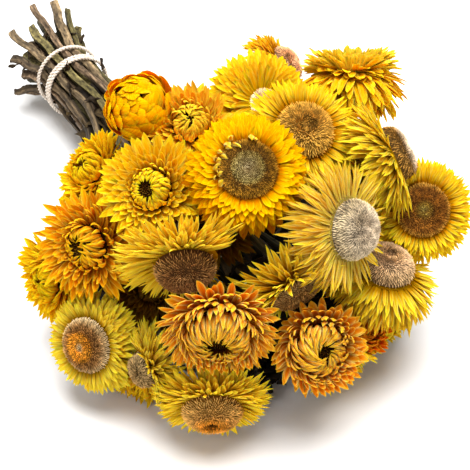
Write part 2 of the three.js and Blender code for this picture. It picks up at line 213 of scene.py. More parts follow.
# The point at a place along a smooth curve through the given points.
def smooth_point(points, place):
    i = min(int(place), len(points) - 2)
    before = points[i - 1] if i else points[0] * 2 - points[1]
    after = points[i + 2] if i + 2 < len(points) else points[-1] * 2 - points[-2]
    a, b = points[i], points[i + 1]
    d0, d1, d2 = (max((q - p).length ** 0.5, 1e-4) for p, q in ((before, a), (a, b), (b, after)))
    leave = ((a - before) / d0 - (b - before) / (d0 + d1) + (b - a) / d1) * d1
    arrive = ((b - a) / d1 - (after - a) / (d1 + d2) + (after - b) / d2) * d1
    t = place - i
    return (a + leave * t + (a * -3 + b * 3 - leave * 2 - arrive) * t ** 2
            + (a * 2 - b * 2 + leave + arrive) * t ** 3)


# Shares from 0 to 1, the same row each time.
def drawn_shares(seed):
    while True:
        seed = seed * 16807 % 2147483647
        yield seed / 2147483647


STRAIGHT_STEPS = 10
CURVED_STEPS = 36
# In metres from the middle of the tie: where it lets go of the stems, where they have begun to part, and
# about where their cut ends lie.
TIE_HOLD = 0.012
PARTED_AT = 0.052
CUT_REACH = 0.025
# How much wider a stem's ring is where the stems part, and at the cut ends.
PARTING = 1.35
SPLAY = 1.75
# The last of a stem, which runs straight into its cup, in metres.
CUP_NECK = 0.008


# Each stem runs straight from its cut end to the tie and from there in a curve to its head's cup.
def stem_paths():
    shares = drawn_shares(20)
    paths = {}
    places = places_in_tie()
    for name, (place, _) in HEADS.items():
        radius, angle = places[name]
        splay = radius * SPLAY * (0.85 + 0.3 * next(shares))
        reach = CUT_REACH + 0.009 * math.cos(angle - 1) + 0.014 * next(shares)
        cut = in_tie(splay, angle, reach)
        cut.z = max(cut.z, STEM_RADIUS * 0.8)
        facing = facing_of(name)
        end = Vector(place) / 1000 - facing * CUP_DEPTH
        run = [in_tie(radius, angle, TIE_HOLD), in_tie(radius, angle, -TIE_HOLD),
               in_tie(radius * PARTING, angle, -PARTED_AT), end - facing * CUP_NECK, end]
        line = [cut.lerp(run[0], i / STRAIGHT_STEPS) for i in range(STRAIGHT_STEPS)]
        line += [smooth_point(run, i * (len(run) - 1) / CURVED_STEPS) for i in range(CURVED_STEPS + 1)]
        paths[name] = line
    return paths


STEM_PATHS = stem_paths()


# A new primitive, selected by itself.
def started_from(add_primitive, **sizes):
    bpy.ops.object.select_all(action="DESELECT")
    add_primitive(**sizes)
    return bpy.context.object


stem_pattern = started_from(
    bpy.ops.mesh.primitive_cylinder_add, vertices=12, radius=1, depth=1, location=(0, 0, 0.5),
)
bpy.ops.object.transform_apply(location=True)
bpy.ops.object.mode_set(mode="EDIT")
bpy.ops.mesh.select_mode(type="EDGE")
bpy.ops.mesh.select_all(action="DESELECT")
bpy.ops.object.mode_set(mode="OBJECT")
for edge in stem_pattern.data.edges:
    a, b = (stem_pattern.data.vertices[i].co for i in edge.vertices)
    edge.select = abs(a.z - b.z) > 0.5
bpy.ops.object.mode_set(mode="EDIT")
bpy.ops.mesh.subdivide_edgering(number_cuts=40, interpolation="LINEAR")
bpy.ops.mesh.select_mode(type="FACE")
bpy.ops.mesh.select_all(action="DESELECT")
bpy.ops.object.mode_set(mode="OBJECT")
for face in stem_pattern.data.polygons:
    face.select = face.normal.z < -0.9
bpy.ops.object.mode_set(mode="EDIT")
bpy.ops.mesh.inset(thickness=0.35, depth=0)
bpy.ops.mesh.inset(thickness=0.2, depth=-0.004)
bpy.ops.object.mode_set(mode="OBJECT")


def pattern_arrays(pattern):
    points = np.empty(len(pattern.data.vertices) * 3)
    pattern.data.vertices.foreach_get("co", points)
    faces = [tuple(face.vertices) for face in pattern.data.polygons]
    bpy.data.objects.remove(pattern)
    return points.reshape(-1, 3), faces


# Puts many copies of one pattern into one mesh. Each copy brings its points, their colours and their grain:
# across, along and which copy it is.
def mesh_of(name, faces, copies):
    points = np.concatenate([copy[0] for copy in copies])
    mesh = bpy.data.meshes.new(name)
    count = len(copies[0][0])
    every = [tuple(corner + count * i for corner in face) for i in range(len(copies)) for face in faces]
    mesh.from_pydata(points.tolist(), [], every)
    colours = np.concatenate([np.c_[copy[1], np.ones(len(copy[1]))] for copy in copies])
    mesh.attributes.new("colour", "FLOAT_COLOR", "POINT").data.foreach_set("color", colours.ravel())
    grain = np.concatenate([copy[2] for copy in copies])
    mesh.attributes.new("grain", "FLOAT_VECTOR", "POINT").data.foreach_set("vector", grain.ravel())
    piece = bpy.data.objects.new(name, mesh)
    bpy.context.collection.objects.link(piece)
    return piece


def smooth_over(piece, degrees):
    bpy.ops.object.select_all(action="DESELECT")
    bpy.context.view_layer.objects.active = piece
    piece.select_set(True)
    bpy.ops.object.shade_smooth_by_angle(angle=math.radians(degrees))


# A colour as it is named on a paint card, turned to the light that it sends back.
def paint(*card):
    return np.array([((c / 255 + 0.055) / 1.055) ** 2.4 if c > 10 else c / 255 / 12.92 for c in card])


STEM_COLOURS = [paint(136, 126, 80), paint(114, 106, 64), paint(140, 118, 94), paint(104, 88, 66),
                paint(154, 146, 92), paint(80, 74, 44), paint(124, 112, 64), paint(146, 126, 96)]
CUT_COLOUR = paint(196, 178, 128)
LEAF_SCARS = 7
ON_THE_TABLE = 0.0002
stem_points, stem_faces = pattern_arrays(stem_pattern)


# Each point of a line with the directions along it, across it and square to both, which never twist.
def ribbon_frames(line, lean=Vector((1, 0, 0))):
    frames = []
    across = lean.copy()
    for i, point in enumerate(line):
        along = (line[min(i + 1, len(line) - 1)] - line[max(i - 1, 0)]).normalized()
        across = (across - along * across.dot(along)).normalized()
        frames.append((point, along, across.copy(), along.cross(across)))
    return np.array([[list(v) for v in frame] for frame in frames])


# How thick a stem is at each of its points: it has three or four flat ribs, fine wrinkles, a dry, wavering
# outline and knots where leaves sat.
def rough_girth(share, angle, draw):
    ribs = draw.choice((3, 4))
    twist = draw.uniform(-9, 9) * share
    girth = STEM_RADIUS * draw.uniform(0.86, 1.14) * (1 - 0.35 * share)
    ridge = np.cos(ribs * angle + twist + draw.uniform(0, 6))
    wrinkle = np.sin(share * draw.uniform(150, 260) + 3 * angle)
    girth = girth * (1 + 0.16 * ridge + 0.03 * wrinkle)
    waver = np.sin(share * 47 + 2 * angle + draw.uniform(0, 6))
    girth = girth * (1 + 0.07 * waver + 0.05 * np.sin(share * 113 - angle))
    for scar in range(LEAF_SCARS):
        place = (scar + draw.uniform(0.1, 0.9)) / LEAF_SCARS
        side = np.cos(angle - draw.uniform(0, 6.3))
        girth = girth * (1 + 0.30 * np.exp(-((share - place) / 0.010) ** 2) * np.maximum(side, 0.05))
    return girth, ridge, wrinkle


# The side of a stem that faces into the bunch is painted darker, as painted shade between the stems.
def painted_inner_shade(centres, offsets, girth):
    axis = np.array(TIE_AXIS)
    from_axis = centres - np.array(TIE_CENTRE)
    from_axis -= np.outer(from_axis @ axis, axis)
    from_axis /= np.linalg.norm(from_axis, axis=1)[:, None] + 1e-6
    outside = (offsets * from_axis).sum(axis=1) / girth
    return 0.2 + 0.8 * np.clip(outside * 0.9 + 0.45, 0, 1)


def lay_stem(line, draw):
    frames = ribbon_frames(line)
    along = np.clip(stem_points[:, 2], 0, 1) * (len(line) - 1)
    low = np.minimum(along.astype(int), len(line) - 2)
    part = (along - low)[:, None]
    here = frames[low] * (1 - part[..., None]) + frames[low + 1] * part[..., None]
    angle = np.arctan2(stem_points[:, 1], stem_points[:, 0])
    out = np.hypot(stem_points[:, 0], stem_points[:, 1])
    share = along / (len(line) - 1)
    girth, ridge, wrinkle = rough_girth(share, angle, draw)
    flat = draw.uniform(0.7, 1.0)
    turn = draw.uniform(0, 3.1)
    x, y = np.cos(angle) * girth * out, np.sin(angle) * girth * out * flat
    x, y = x * math.cos(turn) - y * math.sin(turn), x * math.sin(turn) + y * math.cos(turn)
    free = np.clip(np.abs(along - 11.5) / 4 - 0.7, 0, 1) * np.clip((1 - share) * 12, 0, 1)
    x = x + free * 0.0006 * np.sin(share * 34 + draw.uniform(0, 6))
    y = y + free * 0.0006 * np.sin(share * 29 + draw.uniform(0, 6))
    offsets = here[:, 2] * x[:, None] + here[:, 3] * y[:, None]
    points = here[:, 0] + offsets
    points[:, 2] = np.maximum(points[:, 2], ON_THE_TABLE / 2)
    tint = np.array(draw.choice(STEM_COLOURS)) * draw.uniform(0.7, 1.1)
    patches = 1 + 0.28 * np.sin(share * draw.uniform(20, 44) + angle + draw.uniform(0, 6))
    capped = (out < 0.8)[:, None] * (share < 0.01)[:, None]
    # Besides its patches, a stem is painted lighter on its ribs and darker in its grooves and wrinkles:
    # painted light and shade.
    colours = tint * (patches * (0.86 + 0.42 * ridge) * (1 + 0.16 * wrinkle))[:, None]
    colours = colours * painted_inner_shade(here[:, 0], offsets, girth)[:, None]
    colours = np.where(capped, CUT_COLOUR * draw.uniform(0.6, 1.0), colours)
    # From past the tie to its head a stem is painted darker, as painted shade in among the heads.
    colours = colours * (1 - 0.6 * np.clip(share * 1.5 - 0.45, 0, 1))[:, None]
    grain = np.c_[angle * 2.4, share * 280, np.full(len(share), draw.uniform(0, 90))]
    return points, colours, grain


# A dry, matt finish: a noise runs between a dark and a light shade, which tint the piece's own colours where
# there is a tint. It is drawn out along the piece's grain where it has a stretch, and raises fine fibres.
def dry_finish(name, roughness, gloss, noise, shades, stretch=None, tint=None, fibres=None):
    made = bpy.data.materials.new(name)
    made.use_nodes = True
    nodes, links = made.node_tree.nodes, made.node_tree.links
    shader = nodes["Principled BSDF"]
    shader.inputs["Roughness"].default_value = roughness
    shader.inputs["Specular IOR Level"].default_value = gloss
    streaks = nodes.new("ShaderNodeTexNoise")
    for socket, value in noise.items():
        streaks.inputs[socket].default_value = value
    if stretch:
        grain = nodes.new("ShaderNodeAttribute")
        grain.attribute_name = "grain"
        drawn_out = nodes.new("ShaderNodeMapping")
        drawn_out.inputs["Scale"].default_value = stretch
        links.new(grain.outputs["Vector"], drawn_out.inputs["Vector"])
        links.new(drawn_out.outputs["Vector"], streaks.inputs["Vector"])
    else:
        place = nodes.new("ShaderNodeTexCoord")
        links.new(place.outputs["Object"], streaks.inputs["Vector"])
    ramp = nodes.new("ShaderNodeValToRGB")
    for stop, (position, shade) in zip(ramp.color_ramp.elements, shades):
        stop.position = position
        stop.color = (*shade, 1)
    links.new(streaks.outputs["Fac"], ramp.inputs["Fac"])
    finished = ramp.outputs["Color"]
    if tint:
        colour = nodes.new("ShaderNodeAttribute")
        colour.attribute_name = "colour"
        mixed = nodes.new("ShaderNodeMix")
        mixed.data_type = "RGBA"
        mixed.blend_type = "MULTIPLY"
        mixed.inputs["Factor"].default_value = tint
        links.new(colour.outputs["Color"], mixed.inputs["A"])
        links.new(finished, mixed.inputs["B"])
        finished = mixed.outputs["Result"]
    links.new(finished, shader.inputs["Base Color"])
    if fibres:
        bump = nodes.new("ShaderNodeBump")
        bump.inputs["Strength"].default_value, bump.inputs["Distance"].default_value = fibres
        links.new(streaks.outputs["Fac"], bump.inputs["Height"])
        links.new(bump.outputs["Normal"], shader.inputs["Normal"])
    return made


dry_stem = dry_finish(
    "dry_stem", roughness=0.72, gloss=0.25, noise={"Scale": 1.5, "Detail": 6, "Roughness": 0.65},
    shades=((0.32, (0.12, 0.10, 0.09)), (0.68, (1.55, 1.5, 1.4))), stretch=(0.55, 0.11, 1), tint=1,
    fibres=(0.8, 0.0005),
)
stem_draw = random.Random(3)
laid = {name: lay_stem(line, stem_draw) for name, line in STEM_PATHS.items()}
for name in LOOSE_STEMS:
    stalk = mesh_of("stalk_" + name, stem_faces, [laid[name]])
    stalk.data.materials.append(dry_stem)
    smooth_over(stalk, 50)
    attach(stalk, "root")
    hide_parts("stem_" + name)
stalks = mesh_of("stalks_pressed", stem_faces, [laid[name] for name in HEADS if name not in LOOSE_STEMS])
stalks.data.materials.append(dry_stem)
smooth_over(stalks, 50)
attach(stalks, "root")
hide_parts("stem_bundle")

# ---- Shrivelled leaves ----
# The long narrow leaves dried on the stems: dark, curled lengthwise and crumpled, lying in among the stems
# from the string to the heads. Others lie in the gaps between heads and on the table under them: partly dry
# leaves and partly painted shade, dark pieces that darken the shaded gaps.
LEAF_STEPS = 7
leaf_pattern = started_from(
    bpy.ops.mesh.primitive_grid_add, x_subdivisions=2, y_subdivisions=LEAF_STEPS, size=2,
)
thick = leaf_pattern.modifiers.new("thick", "SOLIDIFY")
thick.thickness = 0.05
thick.offset = 0
bpy.ops.object.modifier_apply(modifier="thick")
leaf_points, leaf_faces = pattern_arrays(leaf_pattern)
LEAF_COLOURS = [paint(44, 32, 18), paint(58, 44, 24), paint(32, 23, 14), paint(84, 68, 38), paint(50, 37, 18)]
# The stretch of a stem's line that bears leaves, from the string to the cup, as the numbers of its points.
LEAFY_FROM, LEAFY_TO = 19, 44
LEAVES_ON_A_STEM = 7
LEAVES_IN_A_GAP = 4
WIDEST_GAP = 0.072
LEAVES_AT_A_CUP = 10
LEAVES_ON_THE_FLOOR = 110
LEAVES_AT_THE_FRONT = 90
CRUMBS_AT_THE_TIE = 90
# The low and the high corner of the space under the heads that loose leaves lie in, in metres, and the strip
# along its front that has more of them. They darken the shaded table seen through the bunch, as painted
# shade.
FLOOR = ((-0.05, -0.044, 0.002), (0.055, 0.055, 0.012))
FRONT_OF_FLOOR = (-0.046, -0.022)
# How far beside a head's axis a leaf is kept out of its cone of bracts.
CONE_REACH = 0.027
CONE_REACH_ON_THE_FLOOR = 0.020


def any_place(low, high, draw):
    return Vector([draw.uniform(a, b) for a, b in zip(low, high)])


def any_way(draw):
    return any_place((-1, -1, -1), (1, 1, 1), draw)


# A leaf's trail wanders off along its heading and leans to one side.
def lay_leaf(here, heading, side, length, width, draw):
    spread = draw.uniform(0.1, 0.5)
    side = (side - heading * side.dot(heading)).normalized()
    here = here + side * STEM_RADIUS * 0.8
    trail = []
    for i in range(LEAF_STEPS + 1):
        trail.append(here.copy())
        heading = (heading + side * spread * (0.5 if i < 3 else -0.1) + any_way(draw) * 0.28).normalized()
        here += heading * length / LEAF_STEPS
    frames = ribbon_frames(trail, heading.cross(side))
    t = (leaf_points[:, 1] + 1) / 2
    row = np.rint(t * LEAF_STEPS).astype(int)
    shape = np.sin(np.pi * np.clip(t * 0.93 + 0.05, 0, 1)) ** 0.7 * width / 2
    curl = leaf_points[:, 0] * (0.9 + 0.5 * np.sin(t * 9 + draw.uniform(0, 6)))
    roll = draw.uniform(0, 6) + t * draw.uniform(-3, 3)
    x = np.sin(curl) * shape
    y = (1 - np.cos(curl)) * shape + leaf_points[:, 2] * 0.004
    x, y = x * np.cos(roll) - y * np.sin(roll), x * np.sin(roll) + y * np.cos(roll)
    points = frames[row, 0] + frames[row, 2] * x[:, None] + frames[row, 3] * y[:, None]
    points[:, 2] = np.maximum(points[:, 2], ON_THE_TABLE)
    tint = np.array(draw.choice(LEAF_COLOURS)) * draw.uniform(0.5, 1.1)
    colours = np.tile(tint, (len(points), 1))
    grain = np.c_[leaf_points[:, 0] * 4, t * 40, np.full(len(t), draw.uniform(0, 90))]
    return points, colours, grain


# True where a leaf stays behind every head, below the cone of bracts that spreads from the head's rim, and
# doesn't come out on the table in front of the bunch.
def is_behind_heads(points, cone_reach):
    for name, (place, _) in HEADS.items():
        facing = np.array(facing_of(name))
        offset = points - np.array(place) / 1000
        height = offset @ facing
        beside = np.linalg.norm(offset - np.outer(height, facing), axis=1)
        cone = -0.005 - 0.45 * np.maximum(beside - 0.013, 0)
        if np.any((height > cone) & (height < 0.03) & (beside < cone_reach)):
            return False
    return not np.any((points[:, 1] < -0.048) & (points[:, 2] < 0.02))


leaf_draw = random.Random(11)
leaves = []


def add_leaf(here, heading, side, length, width, cone_reach=CONE_REACH):
    leaf = lay_leaf(here, heading, side, length, width, leaf_draw)
    if is_behind_heads(leaf[0], cone_reach):
        leaves.append(leaf)


# Leaves along every stem, round every cup, in the gaps between heads, on the floor and at the tie. Those in
# the gaps and on the floor are partly painted shade.
for line in STEM_PATHS.values():
    for i in range(LEAVES_ON_A_STEM):
        further = (i + leaf_draw.random()) * (LEAFY_TO + 1 - LEAFY_FROM) / LEAVES_ON_A_STEM
        start = LEAFY_FROM + int(further)
        middle = sum((other[start] for other in STEM_PATHS.values()), Vector()) / len(STEM_PATHS)
        inward = (middle - line[start]).normalized() * (LEAFY_TO - start) / (LEAFY_TO - LEAFY_FROM)
        side = inward + any_way(leaf_draw) * 0.6
        heading = (line[start + 1] - line[start]).normalized()
        add_leaf(line[start], heading, side, leaf_draw.uniform(0.014, 0.028), leaf_draw.uniform(0.005, 0.012))
for name, (place, _) in HEADS.items():
    for _ in range(LEAVES_AT_A_CUP):
        heading = (any_way(leaf_draw) * 1.2 - facing_of(name) * 0.4).normalized()
        here = Vector(place) / 1000 - facing_of(name) * 0.014
        add_leaf(here, heading, any_way(leaf_draw), leaf_draw.uniform(0.020, 0.034), 0.012)
for a, b in itertools.combinations(HEADS, 2):
    middle = (Vector(HEADS[a][0]) + Vector(HEADS[b][0])) / 2000
    if (Vector(HEADS[a][0]) / 1000 - middle).length > WIDEST_GAP / 2:
        continue
    outward = facing_of(a) + facing_of(b)
    for _ in range(LEAVES_IN_A_GAP):
        here = middle - outward * leaf_draw.uniform(0.004, 0.018) + any_way(leaf_draw) * 0.012
        heading = (outward * 0.4 + any_way(leaf_draw)).normalized()
        add_leaf(here, heading, any_way(leaf_draw), leaf_draw.uniform(0.014, 0.026), 0.011)
for i in range(LEAVES_ON_THE_FLOOR + LEAVES_AT_THE_FRONT):
    here = any_place(*FLOOR, leaf_draw)
    heading = Vector((leaf_draw.uniform(-1, 1), leaf_draw.uniform(-1, 1), 0.1)).normalized()
    if i >= LEAVES_ON_THE_FLOOR:
        here.x *= 0.6
        here.y = leaf_draw.uniform(*FRONT_OF_FLOOR)
        heading = Vector((heading.x, heading.y * 0.2, 0.1)).normalized()
    upward = Vector((0, 0, 1))
    add_leaf(here, heading, upward, leaf_draw.uniform(0.018, 0.030), 0.013, CONE_REACH_ON_THE_FLOOR)
stem_lines = list(STEM_PATHS.values())
for _ in range(CRUMBS_AT_THE_TIE):
    line = leaf_draw.choice(stem_lines)
    start = leaf_draw.randrange(4, 30)
    heading = ((line[start] - line[start + 1]).normalized() + any_way(leaf_draw) * 0.9).normalized()
    side = (line[start] - TIE_CENTRE).normalized() + any_way(leaf_draw)
    add_leaf(line[start], heading, side, leaf_draw.uniform(0.004, 0.010), 0.0035)
dry_leaves_and_shade_fill = mesh_of("dry_leaves_and_shade_fill", leaf_faces, leaves)
dry_leaves_and_shade_fill.data.materials.append(dry_stem)
smooth_over(dry_leaves_and_shade_fill, 60)
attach(dry_leaves_and_shade_fill, "root")

# ---- String ----
# One length of soft cotton string, two strands twisted together, wound three times round the stems: one turn
# by itself and two side by side nearer the heads.

# How far along the tie each turn lies, from its middle towards the cut ends, in metres.
STRING_TURNS = (0.007, -0.0035, -0.0058)
STRING_POINTS = 900
STRAND_RADIUS = 0.00056
STRAND_OFFSET = 0.00050
WOUND_RADIUS = 0.01705
TWISTS_A_TURN = 26
# The share of a turn after which the string crosses over to the next one.
CROSSING = 0.72


# One strand winds round the middle of the string, which winds round the stems.
def string_line(offset):
    line = []
    for i in range(STRING_POINTS + 1):
        turn = len(STRING_TURNS) * i / STRING_POINTS
        whole = min(int(turn), 2)
        start, end = STRING_TURNS[whole], STRING_TURNS[min(whole + 1, 2)]
        t = min(max((turn - whole - CROSSING) / (1 - CROSSING), 0), 1)
        along = start + (end - start) * t * t * (3 - 2 * t)
        angle = -0.6 + 2 * math.pi * turn * 0.985
        twist = turn * 2 * math.pi * TWISTS_A_TURN + offset
        radius = WOUND_RADIUS + STRAND_OFFSET * math.cos(twist) + 0.0003 * math.sin(angle * 3 + 1)
        along += STRAND_OFFSET * math.sin(twist) + 0.0004 * math.sin(angle * 2)
        line.append(in_tie(radius, angle, along))
    return line


def lay_strand(number):
    strand = started_from(bpy.ops.curve.primitive_nurbs_path_add)
    spline = strand.data.splines[0]
    spline.type = "POLY"
    line = string_line(number * math.pi)
    spline.points.add(len(line) - len(spline.points))
    spline.points.foreach_set("co", [c for point in line for c in (*point, 1)])
    strand.data.bevel_depth = STRAND_RADIUS
    strand.data.bevel_resolution = 1
    strand.data.use_fill_caps = True
    bpy.ops.object.convert(target="MESH")
    return bpy.context.object


def joined(name, parts):
    bpy.ops.object.select_all(action="DESELECT")
    for part in parts:
        part.select_set(True)
    bpy.context.view_layer.objects.active = parts[0]
    bpy.ops.object.join()
    made = bpy.context.object
    made.name = name
    return made


cotton = joined("cotton_string", [lay_strand(0), lay_strand(1)])
bpy.ops.object.transform_apply(location=True, rotation=True, scale=True)
cotton.data.materials.clear()
cotton.data.materials.append(dry_finish(
    "cotton_string", roughness=0.85, gloss=0.5, noise={"Scale": 900, "Detail": 5},
    shades=((0.3, paint(196, 176, 156)), (0.62, paint(240, 230, 216))), fibres=(0.6, 0.0003),
))
smooth_over(cotton, 60)
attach(cotton, "root")
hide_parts("string")

# ---- Floret discs ----
# The middle of an open head: a low or high dome packed with hundreds of tiny dry florets and their bristles,
# which stand in a spiral and lean outwards towards the rim. Old discs are brown, young ones grey-green.

# Each disc: its radius and height in mm, how deep its middle is dimpled, how long its bristles are and how
# far they lean at the rim in degrees, how many there are, and its colours from the middle (0) to the rim (1).
Disc = collections.namedtuple("Disc", "radius height dimple length lean count rings")
DISCS = {
    "centre": (11.5, 4, 0.9, 1.5, 40, 1700, (
        (0, (172, 158, 122)), (0.3, (182, 166, 112)), (0.5, (164, 146, 80)), (0.6, (124, 86, 26)),
        (0.8, (130, 90, 20)), (0.93, (170, 122, 30)), (1, (96, 56, 14)),
    )),
    "left_disc": (11.4, 6, 0.8, 1.8, 55, 1700, (
        (0, (214, 200, 160)), (0.12, (196, 164, 108)), (0.2, (202, 140, 44)), (0.46, (200, 136, 34)),
        (0.58, (144, 98, 46)), (0.78, (152, 112, 64)), (0.9, (196, 166, 116)), (1, (228, 208, 162)),
    )),
    "brown_dome": (12, 11, 0, 2.1, 50, 1300, (
        (0, (164, 122, 74)), (0.5, (152, 110, 64)), (0.8, (140, 98, 52)), (1, (190, 142, 76)),
    )),
    "front_dome": (12, 9, 3.0, 2.2, 45, 1600, (
        (0, (52, 34, 14)), (0.16, (96, 62, 20)), (0.26, (206, 140, 40)), (0.42, (214, 152, 56)),
        (0.6, (196, 148, 76)), (1, (222, 178, 96)),
    )),
    "pale_dome": (12, 11, 0, 2.0, 78, 2600, (
        (0, (186, 170, 146)), (0.4, (182, 166, 142)), (0.75, (188, 172, 144)), (1, (204, 186, 146)),
    )),
    "dark_disc": (11.2, 4.5, 0.8, 1.6, 45, 1700, (
        (0, (160, 150, 80)), (0.2, (150, 124, 48)), (0.4, (132, 84, 26)), (0.8, (140, 88, 28)),
        (1, (206, 156, 60)),
    )),
    "right_side": (12.2, 8, 0, 2.0, 60, 1600, (
        (0, (226, 212, 190)), (0.6, (222, 204, 176)), (0.82, (160, 120, 60)), (1, (176, 128, 50)),
    )),
    "low_dome": (11.6, 10, 3.2, 2.0, 60, 1700, (
        (0, (150, 112, 74)), (0.3, (184, 148, 102)), (0.6, (196, 162, 122)), (1, (196, 162, 112)),
    )),
    "saddle": (11.6, 8, 2.4, 2.6, 55, 1200, (
        (0, (130, 92, 34)), (0.4, (202, 154, 64)), (0.75, (196, 148, 56)), (1, (228, 182, 76)),
    )),
    "top_right": (6, 3, 0.5, 1.8, 40, 900, (
        (0, (230, 206, 140)), (0.6, (240, 222, 170)), (1, (246, 232, 190)),
    )),
    "top_left": (6, 3.5, 0.5, 1.8, 50, 900, (
        (0, (190, 156, 104)), (0.5, (216, 186, 134)), (1, (240, 218, 176)),
    )),
    "top_orange": (9, 7, 0.5, 2.2, 60, 1500, (
        (0, (210, 162, 122)), (0.5, (222, 174, 132)), (1, (232, 188, 140)),
    )),
    "small_dome": (7, 7, 0, 2.2, 62, 1200, (
        (0, (150, 122, 76)), (0.5, (164, 136, 88)), (1, (184, 158, 108)),
    )),
    "tucked_dome": (11, 7, 0, 2.2, 60, 1800, (
        (0, (150, 114, 62)), (0.5, (178, 140, 80)), (1, (206, 170, 104)),
    )),
    "under_middle": (11, 8.4, 0, 1.6, 50, 900, (
        (0, (120, 84, 44)), (1, (140, 100, 54)),
    )),
}
DISCS = {name: Disc(*form) for name, form in DISCS.items()}
# The turn from one bristle to the next, which packs them in a spiral.
SPIRAL_TURN = 2.39996
# How deep a bristle's root sits in the dome, in mm.
BRISTLE_ROOT = 0.5

bristle_pattern = started_from(
    bpy.ops.mesh.primitive_cone_add, vertices=3, radius1=1, radius2=0, depth=1, location=(0, 0, 0.5),
)
bpy.ops.object.transform_apply(location=True)
bristle_points, bristle_faces = pattern_arrays(bristle_pattern)


# How high the dome stands at a distance from its middle, both in mm.
def dome_height(form, r):
    share = np.clip(r / form.radius, 0, 1)
    crown = form.height * (1 - share ** 2.5) ** (1 / 2.2)
    return crown - form.dimple * np.exp(-(share / 0.22) ** 2)


def floret_colour(share, rings):
    stops = [stop[0] for stop in rings]
    shades = np.array([paint(*stop[1]) for stop in rings])
    return np.array([np.interp(share, stops, shades[:, i]) for i in range(3)])


# One bristle stands square on the dome at its root, tips outwards by its share of the lean, and sags.
def bristle_at(form, r, turn, lean_share, long, draw):
    slope = (dome_height(form, r + 0.05) - dome_height(form, r)) / 0.05
    slope = max(float(slope), -4)
    outward = np.array((math.cos(turn), math.sin(turn), 0))
    upward = np.array((0, 0, 1.0))
    straight = upward - outward * slope
    straight /= np.linalg.norm(straight)
    downhill = outward + upward * slope
    downhill /= np.linalg.norm(downhill)
    sideways = np.cross(straight, downhill)
    tilt = math.radians(form.lean * lean_share + draw.uniform(-22, 22))
    drift = draw.uniform(-0.35, 0.35)
    heading = straight * math.cos(tilt) + (downhill + sideways * drift) * math.sin(tilt)
    heading /= np.linalg.norm(heading)
    across = np.cross(heading, sideways + 0.01)
    across /= np.linalg.norm(across)
    third = np.cross(heading, across)
    root = outward * r + upward * (float(dome_height(form, r)) - BRISTLE_ROOT)
    size = form.length * long * draw.uniform(0.7, 1.15)
    thick = draw.uniform(0.26, 0.42) * (1.2 if lean_share < 0.45 else 1)
    p = bristle_points
    sag = -straight * (0.18 * lean_share)
    points = (root + np.outer(p[:, 0] * thick, across) + np.outer(p[:, 1] * thick, third)
              + np.outer(p[:, 2] * size, heading) + np.outer(p[:, 2] ** 2 * size, sag))
    tint = floret_colour(r / form.radius, form.rings)
    tint = tint * (1 + draw.uniform(-1, 1) * (0.65 if tint[1] < 0.3 else 0.2))
    # A bristle is painted dark at its root and light at its tip: painted shade down among the bristles and
    # painted light on their tips.
    shade = (0.16 + 1.9 * np.clip(p[:, 2], 0, 1))[:, None]
    grain = np.c_[p[:, :2], np.full(len(p), draw.uniform(0, 90))]
    return points, tint * shade, grain


def placed_in_bunch(points, name):
    place = np.array(head_frame(name))
    moved = points / 1000 @ place[:3, :3].T + place[:3, 3]
    moved[:, 2] = np.maximum(moved[:, 2], ON_THE_TABLE)
    return moved


dry_florets = dry_finish(
    "dry_florets", roughness=0.8, gloss=0.1, noise={"Scale": 420, "Detail": 4},
    shades=((0.3, (0.5, 0.47, 0.45)), (0.65, (1.2, 1.2, 1.2))), tint=1,
)


# The dome that the florets stand in: the top of a ball, drawn to the disc's own curve. It is painted at a
# third of its middle ring's colour, as painted shade down among the bristles.
def dome_core(name, form):
    ball = started_from(bpy.ops.mesh.primitive_uv_sphere_add, segments=28, ring_count=16, radius=1)
    points, faces = pattern_arrays(ball)
    radius = form.radius * 0.985
    top = dome_height(form, np.hypot(points[:, 0], points[:, 1]) * radius) - 0.25
    points[:, :2] *= radius
    points[:, 2] = np.where(points[:, 2] >= -0.01, top, points[:, 2] * 1.5 + 0.4)
    middle_shade = form.rings[len(form.rings) // 2][1]
    colours = np.tile(paint(*middle_shade) * 0.3, (len(points), 1))
    return mesh_of(name, faces, [(placed_in_bunch(points, name), colours, points)])


# A disc of bristles on its dome. The nearer the rim, the more they lean, and the middle ones are shorter.
def packed_disc(called, name, form, filled, lean_power, shortest, draw):
    bristles = []
    for i in range(form.count):
        share = math.sqrt((i + 0.5) / form.count)
        long = shortest + (1 - shortest) * share
        r = form.radius * share * filled
        points, colours, grain = bristle_at(form, r, i * SPIRAL_TURN, share ** lean_power, long, draw)
        bristles.append((placed_in_bunch(points, name), colours, grain))
    return joined(called, [mesh_of("bristles", bristle_faces, bristles), dome_core(name, form)])


floret_draw = random.Random(5)
for name, form in DISCS.items():
    florets = packed_disc("florets_" + name, name, form, 0.99, 1.5, 0.5, floret_draw)
    florets.data.materials.append(dry_florets)
    smooth_over(florets, 50)
    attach(florets, "root")
    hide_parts("disc_" + name)

# ---- Bracts ----
# The papery, pointed "petals": stiff dry scales in many layers round each head. On an open head they spread
# and fold back round the disc, on a half-open one the inner layers curl in over its middle. Each is a thin
# blade, folded a little along its midrib.


# A flat blade with a front and a back that meet along its edge. Its outline lists how far along it each row
# of corners is and how wide the blade is there.
def blade_pattern(columns, outline):
    rows = len(outline) - 1
    blade = started_from(bpy.ops.mesh.primitive_grid_add, x_subdivisions=columns, y_subdivisions=rows, size=2)
    bpy.ops.object.mode_set(mode="EDIT")
    bpy.ops.mesh.select_all(action="SELECT")
    bpy.ops.mesh.duplicate()
    bpy.ops.mesh.flip_normals()
    bpy.ops.transform.translate(value=(0, 0, -1))
    bpy.ops.object.mode_set(mode="OBJECT")
    for corner in blade.data.vertices:
        if max(abs(corner.co.x), abs(corner.co.y)) > 0.99:
            corner.co.z = 0
    bpy.ops.object.mode_set(mode="EDIT")
    bpy.ops.mesh.select_all(action="SELECT")
    bpy.ops.mesh.remove_doubles(threshold=0.0001)
    bpy.ops.object.mode_set(mode="OBJECT")
    for corner in blade.data.vertices:
        share, wide = outline[round((corner.co.y + 1) / 2 * rows)]
        corner.co.x *= wide
        corner.co.y = share * 2 - 1
    return pattern_arrays(blade)


